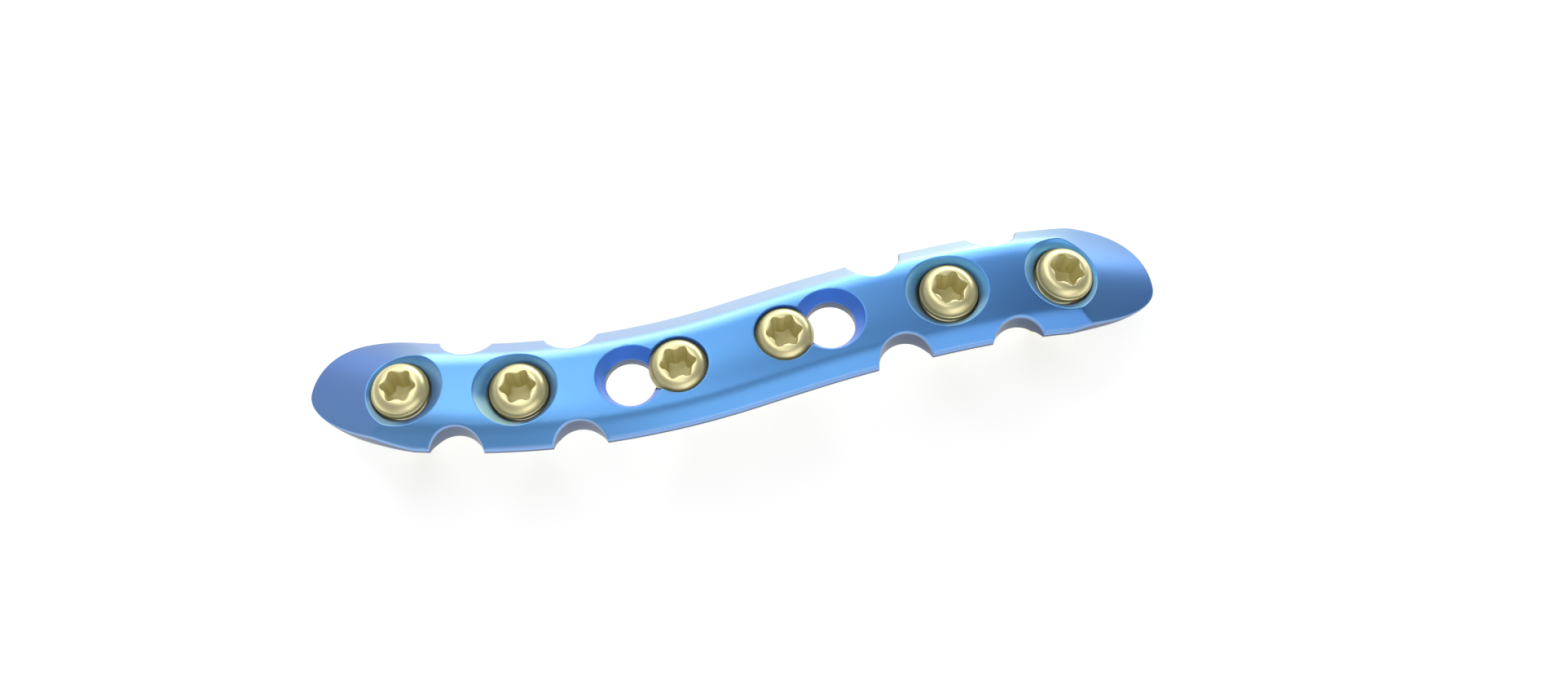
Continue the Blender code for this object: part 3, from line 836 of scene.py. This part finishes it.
def recess_radius(angle, lobing):
    """Radius of the recess; lobing fades it from a circle to the full six-pointed star."""
    sixth = math.pi / 3
    turn = abs((angle + sixth / 2) % sixth - sixth / 2)
    point = RECESS_POINT_RADIUS - RECESS_POINT_ROUNDING
    waist = RECESS_WAIST_RADIUS + RECESS_WAIST_ROUNDING
    # Narrow rounded points meet broad bulges between them.
    share = RECESS_POINT_ROUNDING / (RECESS_POINT_ROUNDING + RECESS_WAIST_ROUNDING)
    meet = math.atan2(share * waist * math.sin(sixth / 2),
                      point + share * (waist * math.cos(sixth / 2) - point))
    if turn < meet:
        reach = RECESS_POINT_ROUNDING ** 2 - (point * math.sin(turn)) ** 2
        star = point * math.cos(turn) + math.sqrt(reach)
    else:
        rest = sixth / 2 - turn
        reach = RECESS_WAIST_ROUNDING ** 2 - (waist * math.sin(rest)) ** 2
        star = waist * math.cos(rest) - math.sqrt(max(0.0, reach))
    return RECESS_POINT_RADIUS + (star - RECESS_POINT_RADIUS) * lobing


def head_profile():
    """Outer side of the head, from the edge of its face down to its foot."""
    dome_foot = COLLAR_TOP + GROOVE_WIDTH
    dome_radius = COLLAR_RADIUS - GROOVE_DEPTH
    first, last = DOME_FIRST_ANGLE, DOME_LAST_ANGLE
    points = []
    for index in range(DOME_STEPS + 1):
        angle = first + (last - first) * index / DOME_STEPS
        out = (math.sin(angle) - math.sin(first)) / (math.sin(last) - math.sin(first))
        fall = (math.cos(first) - math.cos(angle)) / (math.cos(first) - math.cos(last))
        points.append((FACE_RADIUS + (dome_radius - FACE_RADIUS) * out,
                       HEAD_TOP - (HEAD_TOP - dome_foot) * fall))
    # The groove under the dome and the rounded upper edge of the collar.
    points += [(dome_radius - 0.02 * MM, COLLAR_TOP + 0.08 * MM),
               (dome_radius - 0.02 * MM, COLLAR_TOP + 0.01 * MM),
               (dome_radius + 0.03 * MM, COLLAR_TOP - 0.03 * MM),
               (COLLAR_RADIUS - 0.02 * MM, COLLAR_TOP - 0.07 * MM),
               (COLLAR_RADIUS, COLLAR_TOP - 0.12 * MM),
               (COLLAR_RADIUS, SEAT_HEIGHT)]
    # The ridges of the head's own thread, on its taper.
    rise = SEAT_HEIGHT - BORE_FOOT_HEIGHT
    for index in range(HEAD_RIDGES):
        top = SEAT_HEIGHT - rise * index / HEAD_RIDGES
        for part, dent in HEAD_RIDGE:
            height = top - rise / HEAD_RIDGES * part
            radius = COLLAR_RADIUS - HEAD_TAPER * (SEAT_HEIGHT - height) / rise - dent
            points.append((radius, height))
    # The foot of the head and the neck, which ends inside the shank.
    points += [(COLLAR_RADIUS - HEAD_TAPER, 0.08 * MM),
               (COLLAR_RADIUS - HEAD_TAPER - 0.08 * MM, 0.0),
               (CORE_RADIUS + 0.15 * MM, -0.25 * MM),
               (CORE_RADIUS, -0.6 * MM),
               (CORE_RADIUS, -1.2 * MM),
               (0.0, -1.2 * MM)]
    return points


def make_head(work):
    """Turned head, with its recess pulled down from the edge of its face."""
    bmesh.ops.spin(work, geom=profile_line(work, head_profile()), cent=(0, 0, 0),
                   axis=(0, 0, 1), angle=2 * math.pi, steps=HEAD_POINTS, use_merge=True)
    edges = open_edges(work.edges)
    floor = HEAD_TOP - RECESS_DEPTH
    shrink = 1.0 - RECESS_TAPER
    # Share of the mouth's size, lobing, height and how deep in the recess, which also sets the
    # recess's painted shade.
    levels = (
        (1.005, 0.0, HEAD_TOP + 0.005 * MM, 0.0),
        (1.0, 0.55, HEAD_TOP, 0.0),
        (0.995, 0.9, HEAD_TOP - 0.015 * MM, 0.0),
        (0.99, 1.0, HEAD_TOP - 0.06 * MM, 0.3),
        (0.98, 1.0, HEAD_TOP - 0.13 * MM, 0.7),
        (1.0 - RECESS_TAPER * 0.3, 1.0, HEAD_TOP - RECESS_DEPTH * 0.3, 0.8),
        (1.0 - RECESS_TAPER * 0.65, 1.0, HEAD_TOP - RECESS_DEPTH * 0.65, 1.0),
        (shrink + 0.02, 1.0, floor + 0.12 * MM, 1.0),
        (shrink - 0.02, 0.95, floor + 0.03 * MM, 1.0),
        (shrink - 0.08, 0.8, floor, 1.0),
        (shrink * 0.5, 0.3, floor - 0.02 * MM, 1.0),
        (0.02, 0.0, floor - 0.03 * MM, 1.0),
    )
    hollow = work.verts.layers.float["hollow"]
    for scale, lobing, height, depth in levels:
        made = bmesh.ops.extrude_edge_only(work, edges=edges)["geom"]
        for item in made:
            if isinstance(item, bmesh.types.BMVert):
                angle = math.atan2(item.co.y, item.co.x)
                radius = scale * recess_radius(angle, lobing)
                item.co = (radius * math.cos(angle), radius * math.sin(angle), height)
                item[hollow] = depth
        edges = open_edges(made)
    bmesh.ops.holes_fill(work, edges=edges)


def make_shank(work):
    """Helical thread that runs out into the tip."""
    pitch = THREAD_PITCH
    # Radius of one thread, with the share of the pitch at which it is reached.
    profile = ((CORE_RADIUS, 0.0), (CORE_RADIUS, 0.36), (CORE_RADIUS + 0.04 * MM, 0.44),
               (SHANK_RADIUS - 0.02 * MM, 0.56), (SHANK_RADIUS, 0.60),
               (SHANK_RADIUS - 0.02 * MM, 0.64), (CORE_RADIUS + 0.05 * MM, 0.92),
               (CORE_RADIUS, 1.0))
    top = THREAD_TOP
    foot = HEAD_TOP - SCREW_LENGTH
    turns = math.ceil((top - foot) / pitch) + 2
    shell = bmesh.new()
    heights = [(radius, top + pitch - share * pitch) for radius, share in profile]
    bmesh.ops.spin(shell, geom=profile_line(shell, heights), cent=(0, 0, 0), axis=(0, 0, 1),
                   angle=-2 * math.pi * turns, dvec=(0, 0, -pitch / THREAD_POINTS),
                   steps=THREAD_POINTS * turns, use_merge=False)
    bmesh.ops.remove_doubles(shell, verts=shell.verts, dist=THREAD_MERGE)
    for height, side in ((top, 1.0), (foot, -1.0)):
        geometry = shell.verts[:] + shell.edges[:] + shell.faces[:]
        bmesh.ops.bisect_plane(shell, geom=geometry, dist=THREAD_SNAP, plane_co=(0, 0, height),
                               plane_no=(0, 0, side), clear_outer=True)
    for vertex in shell.verts:
        reach = (vertex.co.z - foot) / TIP_LENGTH
        if reach < 1.0:
            widest = TIP_BLUNT_RADIUS + (CORE_RADIUS - TIP_BLUNT_RADIUS) * reach
            radius = vertex.co.xy.length
            fade = min(1.0, TIP_THREAD_SHARE + (1.0 - TIP_THREAD_SHARE) * reach)
            proud = max(0.0, radius - CORE_RADIUS) * fade
            scale = (widest + proud) / radius
            vertex.co.x *= scale
            vertex.co.y *= scale
    bmesh.ops.holes_fill(shell, edges=open_edges(shell.edges))
    mesh = bpy.data.meshes.new("thread")
    shell.to_mesh(mesh)
    shell.free()
    work.from_mesh(mesh)
    bpy.data.meshes.remove(mesh)


def make_screw(name, station, turn, material):
    """Screw made about Z at the origin, then turned and set square into its hole."""
    work = bmesh.new()
    work.verts.layers.float.new("hollow")
    make_head(work)
    make_shank(work)
    bmesh.ops.recalc_face_normals(work, faces=work.faces)
    work.transform(station_frame(station) @ Matrix.Rotation(math.radians(turn), 4, "Z"))
    return finish_piece(work, name, material, SCREW_CREASE)


# Finishes.

# Tones of the blue oxide, from the right end of the plate at 0 to its left end at 1:
# the film with its painted sheen at a low angle, the same at a middling angle, the cones
# of the locking holes, and the brighter tone of the top face. Their changes along the
# plate are painted light: a pale cyan painted highlight on the middle of the crest,
# darker film at both ends as painted shade, lighter cones at the right end and a brighter
# top on the left nose.
FILM_AND_SHEEN_TONES = ((0.0, (0.15, 0.27, 0.56)), (0.08, (0.22, 0.38, 0.66)), (0.2, (0.54, 0.71, 0.76)),
              (0.45, (0.46, 0.59, 0.79)), (0.85, (0.37, 0.50, 0.75)), (1.0, (0.18, 0.23, 0.50)))
CREST_SHEEN_TONES = ((0.0, (0.12, 0.30, 0.72)), (0.3, (0.18, 0.44, 0.80)), (0.52, (0.38, 0.68, 0.85)),
               (0.87, (0.44, 0.72, 0.86)), (0.91, (0.22, 0.38, 0.82)), (1.0, (0.20, 0.36, 0.80)))
CONE_TONES_AND_PAINTED_LIGHT = ((0.35, (0.13, 0.44, 1.0)), (0.65, (0.11, 0.36, 0.90)), (1.0, (0.11, 0.33, 0.86)))
TOP_TONES_AND_PAINTED_LIGHT = ((0.0, (0.16, 0.44, 0.86)), (0.5, (0.15, 0.43, 0.84)),
             (0.85, (0.16, 0.42, 0.82)), (1.0, (0.25, 0.53, 1.0)))
RIGHT_TONE_PLACE = 48.0 * MM
LEFT_TONE_PLACE = -45.0 * MM
# Other tones, each with a deep and a bright one that its clouds run between. On the plate
# the deep one also stands towards the right end, as painted shade.
TOP_DEEP_AND_RIGHT_SHADE = (0.10, 0.28, 0.68)
CIRCLE_OXIDE = ((0.06, 0.24, 0.96), (0.08, 0.29, 1.00))
# Pale painted highlight along the rounding of the near edge.
RIM_PAINTED_HIGHLIGHT_TONES = ((0.20, 0.38, 0.74), (0.26, 0.47, 0.85))
# Dark painted shade on the side walls and the lower bores.
WALL_PAINTED_SHADE = ((0.08, 0.11, 0.18), (0.12, 0.16, 0.25))
# Pale cyan painted highlight in the cones of the locking holes.
PAINTED_GLEAM_TONES = ((0.45, 0.78, 0.86), (0.55, 0.90, 0.95))
# Painted reflection: the grey that the plate shows in glossy rays.
MIRRORED_PAINTED_GREY = ((0.22, 0.23, 0.21), (0.27, 0.28, 0.26))
HEAD_GOLD = ((0.76, 0.67, 0.33), (0.92, 0.85, 0.48))
# Darker gold deeper in the recess: painted shade.
RECESS_GOLD_PAINTED_SHADE = ((0.69, 0.62, 0.31), (0.82, 0.76, 0.41))


def new_material(name):
    material = bpy.data.materials.new(name)
    material.use_nodes = True
    tree = material.node_tree
    return material, tree, tree.nodes["Principled BSDF"]


def connect(tree, made, inputs):
    """Feeds a node with sockets, values and colours."""
    for key, value in inputs.items():
        if isinstance(value, bpy.types.NodeSocket):
            tree.links.new(value, made.inputs[key])
        elif isinstance(value, tuple) and len(value) == 3:
            made.inputs[key].default_value = (*value, 1.0)
        else:
            made.inputs[key].default_value = value


def node(tree, kind, inputs=None, **settings):
    made = tree.nodes.new(kind)
    for key, value in settings.items():
        setattr(made, key, value)
    connect(tree, made, inputs or {})
    return made


def reckon(tree, operation, *values, use_clamp=False):
    """Result of one sum on values and sockets."""
    return node(tree, "ShaderNodeMath", dict(enumerate(values)), operation=operation,
                use_clamp=use_clamp).outputs[0]


def scaled(tree, value, start, end, low, high, kind="LINEAR"):
    """Value between low and high while another one goes from start to end."""
    return node(tree, "ShaderNodeMapRange", {"Value": value, "From Min": start, "From Max": end,
                                             "To Min": low, "To Max": high},
                interpolation_type=kind).outputs["Result"]


def blend(tree, share, first, second):
    return node(tree, "ShaderNodeMix", {0: share, 6: first, 7: second},
                data_type="RGBA").outputs[2]


def colour_ramp(tree, value, tones):
    """Colour that follows a value through the given places and tones."""
    made = node(tree, "ShaderNodeValToRGB", {0: value})
    stops = made.color_ramp.elements
    for place, _ in tones[1:-1]:
        stops.new(place)
    for stop, (place, tone) in zip(stops, tones):
        stop.position = place
        stop.color = (*tone, 1.0)
    return made.outputs["Color"]


def zone(tree, label):
    """Share of a zone's tone that a piece's vertices carry; the wall, rim, gleam and recess zones
    carry painted light and shade.
    """
    return node(tree, "ShaderNodeAttribute", attribute_name=label).outputs["Fac"]


def grazing(tree, start, end):
    """Share that grows from 0 to 1 as the surface turns away from the eye."""
    facing = node(tree, "ShaderNodeLayerWeight", {"Blend": 0.5}).outputs["Facing"]
    return scaled(tree, facing, start, end, 0.0, 1.0, "SMOOTHSTEP")


def anodised_group():
    """Thin oxide on machined titanium: cloudy colour and fine grain in its gloss and relief."""
    group = bpy.data.node_groups.new("anodised_titanium", "ShaderNodeTree")
    sockets = group.interface
    for side, kind, labels in (
            ("INPUT", "Color", ("Deep", "Bright")),
            ("INPUT", "Float", ("Mix", "Cloud Scale", "Grain Scale", "Roughness", "Grain")),
            ("OUTPUT", "Color", ("Color",)),
            ("OUTPUT", "Float", ("Roughness", "Height"))):
        for label in labels:
            sockets.new_socket(name=label, in_out=side, socket_type="NodeSocket" + kind)
    entry = node(group, "NodeGroupInput").outputs
    place = node(group, "ShaderNodeTexCoord").outputs["Object"]
    cloud = node(group, "ShaderNodeTexNoise", {"Vector": place, "Scale": entry["Cloud Scale"],
                                               "Detail": 3.0, "Roughness": 0.5}).outputs["Fac"]
    grain = node(group, "ShaderNodeTexNoise", {"Vector": place, "Scale": entry["Grain Scale"],
                                               "Detail": 2.0, "Roughness": 0.6}).outputs["Fac"]
    wander = reckon(group, "SUBTRACT", cloud, 0.5)
    lean = reckon(group, "MULTIPLY_ADD", wander, 0.35, entry["Mix"], use_clamp=True)
    speckle = reckon(group, "SUBTRACT", grain, 0.5)
    rough = reckon(group, "MULTIPLY_ADD", speckle, entry["Grain"], entry["Roughness"])
    node(group, "NodeGroupOutput", {"Color": blend(group, lean, entry["Deep"], entry["Bright"]),
                                    "Roughness": rough, "Height": grain})
    return group


def use_group(tree, shader, group, values, bump):
    """Places the oxide in a material with its own values."""
    made = node(tree, "ShaderNodeGroup", node_tree=group)
    connect(tree, made, values)
    rise = node(tree, "ShaderNodeBump", {"Height": made.outputs["Height"], "Strength": bump,
                                         "Distance": 0.01 * MM})
    connect(tree, shader, {"Base Color": made.outputs["Color"],
                           "Roughness": made.outputs["Roughness"],
                           "Normal": rise.outputs["Normal"]})


def blue_titanium(group):
    material, tree, shader = new_material("blue_titanium")
    place = node(tree, "ShaderNodeTexCoord").outputs["Object"]
    along = node(tree, "ShaderNodeSeparateXYZ", {0: place}).outputs["X"]
    # The place along the plate, from the right end at 0 to the left end at 1, drives tones that
    # paint light and shade.
    run = scaled(tree, along, RIGHT_TONE_PLACE, LEFT_TONE_PLACE, 0.0, 1.0)
    wall, seat, rim, painted_gleam = (zone(tree, label) for label in ("wall", "seat", "rim", "painted_gleam"))
    # The colour turns from blue to pale cyan and then to lavender as the angle gets
    # lower: partly the oxide film's own shift, partly painted sheen for the highlights on the
    # crest and the far band. It fades out on the seats, where the light from outside hardly
    # reaches.
    film_and_sheen = reckon(tree, "MULTIPLY", grazing(tree, 0.17, 0.31),
                  scaled(tree, seat, 0.0, 0.6, 1.0, 0.0))
    pale = blend(tree, grazing(tree, 0.33, 0.5), colour_ramp(tree, run, CREST_SHEEN_TONES),
                 colour_ramp(tree, run, FILM_AND_SHEEN_TONES))
    cone = colour_ramp(tree, run, CONE_TONES_AND_PAINTED_LIGHT)
    mirrored = node(tree, "ShaderNodeLightPath").outputs["Is Glossy Ray"]
    deep, bright = TOP_DEEP_AND_RIGHT_SHADE, colour_ramp(tree, run, TOP_TONES_AND_PAINTED_LIGHT)
    # Each zone lies over those before it. The last one, a painted reflection, turns the plate
    # grey in glossy rays and so keeps mirrored blue faint in the gold.
    # The film zone adds painted sheen, the rim and gleam zones painted highlights, the wall zone
    # painted shade.
    for share, tones in ((scaled(tree, seat, TOP[1], CONE[1], 0.0, 1.0), (cone, cone)),
                         (scaled(tree, seat, CONE[1], SEAT[1], 0.0, 1.0), CIRCLE_OXIDE),
                         (film_and_sheen, (pale, pale)), (rim, RIM_PAINTED_HIGHLIGHT_TONES), (wall, WALL_PAINTED_SHADE),
                         (painted_gleam, PAINTED_GLEAM_TONES), (mirrored, MIRRORED_PAINTED_GREY)):
        deep = blend(tree, share, deep, tones[0])
        bright = blend(tree, share, bright, tones[1])
    # The mix follows the place along the plate: every tone darkens towards the right end and
    # brightens towards the left, painted shade and painted light.
    use_group(tree, shader, group, {"Deep": deep, "Bright": bright, "Mix": run,
                                    "Cloud Scale": 120.0, "Grain Scale": 9000.0,
                                    "Roughness": 0.32, "Grain": 0.08}, 0.1)
    metal = scaled(tree, seat, 0.0, 1.0, 0.85, 0.25)
    # The painted highlight takes the metal away there, so it shows as pale colour.
    connect(tree, shader, {"Metallic": reckon(tree, "SUBTRACT", metal, painted_gleam, use_clamp=True)})
    return material


def gold_titanium(group):
    material, tree, shader = new_material("gold_titanium")
    hollow = zone(tree, "hollow")
    # Deeper in the recess the gold darkens: painted shade.
    deep, bright = (blend(tree, hollow, head, recess)
                    for head, recess in zip(HEAD_GOLD, RECESS_GOLD_PAINTED_SHADE))
    use_group(tree, shader, group, {"Deep": deep, "Bright": bright, "Mix": 0.55,
                                    "Cloud Scale": 300.0, "Grain Scale": 9000.0,
                                    "Roughness": scaled(tree, hollow, 0.0, 1.0, 0.34, 0.5),
                                    "Grain": 0.06}, 0.06)
    connect(tree, shader, {"Metallic": scaled(tree, hollow, 0.0, 1.0, 0.8, 0.3),
                           "Coat Weight": 0.5, "Coat Roughness": 0.32})
    return material


def pale_floor():
    material, tree, shader = new_material("pale_floor")
    # The floor is lifted to white for the eye and in mirror-like surfaces alike.
    path = node(tree, "ShaderNodeLightPath").outputs
    seen = reckon(tree, "MAXIMUM", path["Is Camera Ray"], path["Is Glossy Ray"])
    seen = reckon(tree, "MAXIMUM", seen, path["Is Transmission Ray"])
    connect(tree, shader, {"Roughness": 0.9, "Specular IOR Level": 0.2,
                           "Base Color": (0.80, 0.80, 0.79), "Emission Color": (1.0, 1.0, 1.0),
                           "Emission Strength": reckon(tree, "MULTIPLY", seen, FLOOR_LIFT)})
    return material


# Stage, lamps and camera.

FLOOR_HALF_WIDTH = 1.5
FLOOR_GAP = 0.2 * MM
FLOOR_LIFT = 0.48
SKY_TONE = (0.96, 0.98, 1.0)
SKY_STRENGTH = 1.25
# Share of the sky's light along each axis, from the negative end at 0 to the positive
# end at 1. It is brightest a little above the horizon and left of the middle.
SKY_LEVELS = {
    "X": ((0.0, 0.45), (0.25, 0.55), (0.36, 0.82), (0.44, 0.95), (0.65, 0.74), (0.85, 0.26)),
    "Y": ((0.1, 0.85), (0.9, 1.0)),
    "Z": ((0.5, 0.6), (0.625, 0.95), (0.8, 0.6), (0.95, 0.46)),
}
# Name, place, width and height, power and colour of each lamp. All face the plate.
LAMPS = (
    ("overhead", (-0.22, 0.42, 0.88), (0.6, 0.5), 1.2, (1.0, 1.0, 1.0)),
    ("zenith", (-0.08, -0.05, 1.0), (0.75, 0.35), 1.0, (1.0, 1.0, 1.0)),
    ("far_panel", (0.55, 0.92, 0.27), (1.1, 0.42), 4.9, (1.0, 1.0, 0.98)),
    ("far_crest", (-0.12, 0.86, 0.56), (0.9, 0.3), 1.5, (0.95, 1.0, 1.0)),
    ("near_fill", (0.45, -0.78, 0.50), (0.95, 0.7), 2.0, (1.0, 0.99, 0.97)),
)
CAMERA_AZIMUTH = math.radians(-8.0)
CAMERA_ELEVATION = math.radians(65.43)
CAMERA_DISTANCE = 443.26 * MM
CAMERA_ASIDE = 5.65 * MM
CAMERA_LIFT = 2.43 * MM
SENSOR_WIDTH = 36.0
FOCAL_SHARE = 5000.0 / 1924.0  # Focal length over the width of the picture.
SEEN_RANGE = (0.01, 10.0)


def make_floor():
    low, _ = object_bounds()
    work = bmesh.new()
    bmesh.ops.create_grid(work, x_segments=1, y_segments=1, size=FLOOR_HALF_WIDTH)
    work.transform(Matrix.Translation((0.0, 0.0, low[2] - FLOOR_GAP)))
    finish_piece(work, "floor", pale_floor(), PLATE_CREASE)


def add_lamp(name, place, size, power, colour):
    data = bpy.data.lights.new(name, "AREA")
    data.shape = "RECTANGLE"
    data.size, data.size_y = size
    data.energy = power
    data.color = colour
    lamp = bpy.data.objects.new(name, data)
    lamp.location = place
    lamp.rotation_euler = (-Vector(place)).to_track_quat("-Z", "Y").to_euler()
    bpy.context.scene.collection.objects.link(lamp)


def light_scene():
    world = bpy.data.worlds.new("studio")
    world.use_nodes = True
    bpy.context.scene.world = world
    tree = world.node_tree
    direction = node(tree, "ShaderNodeTexCoord").outputs["Generated"]
    split = node(tree, "ShaderNodeSeparateXYZ", {0: direction}).outputs
    strength = SKY_STRENGTH
    for axis, levels in SKY_LEVELS.items():
        share = scaled(tree, split[axis], -1.0, 1.0, 0.0, 1.0)
        part = colour_ramp(tree, share, [(place, (level,) * 3) for place, level in levels])
        strength = reckon(tree, "MULTIPLY", strength, part)
    connect(tree, tree.nodes["Background"], {"Color": SKY_TONE, "Strength": strength})
    for lamp in LAMPS:
        add_lamp(*lamp)


def make_camera():
    right = Vector((math.cos(CAMERA_AZIMUTH), math.sin(CAMERA_AZIMUTH), 0.0))
    back = Vector((math.sin(CAMERA_AZIMUTH) * math.cos(CAMERA_ELEVATION),
                   -math.cos(CAMERA_AZIMUTH) * math.cos(CAMERA_ELEVATION),
                   math.sin(CAMERA_ELEVATION)))
    lift = back.cross(right)
    data = bpy.data.cameras.new("camera")
    data.sensor_fit = "HORIZONTAL"
    data.sensor_width = SENSOR_WIDTH
    data.lens = SENSOR_WIDTH * FOCAL_SHARE
    data.clip_start, data.clip_end = SEEN_RANGE
    camera = bpy.data.objects.new("camera", data)
    place = Matrix((right, lift, back)).transposed().to_4x4()
    place.translation = right * CAMERA_ASIDE + lift * CAMERA_LIFT + back * CAMERA_DISTANCE
    camera.matrix_world = place
    bpy.context.scene.collection.objects.link(camera)
    bpy.context.scene.camera = camera


def main():
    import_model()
    make_camera()
    make_floor()
    light_scene()
    bpy.context.scene.view_settings.view_transform = "Standard"
    group = anodised_group()
    blue = blue_titanium(group)
    gold = gold_titanium(group)
    plate = make_plate(blue)
    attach(plate, "root")
    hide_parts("plate")
    for index, (station, turn) in enumerate(zip(SCREW_STATIONS, SCREW_TURNS)):
        screw = make_screw(f"locking_screw_{index + 1}", station, turn, gold)
        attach(screw, "root")
        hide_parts(f"screw_{index + 1}")


main()
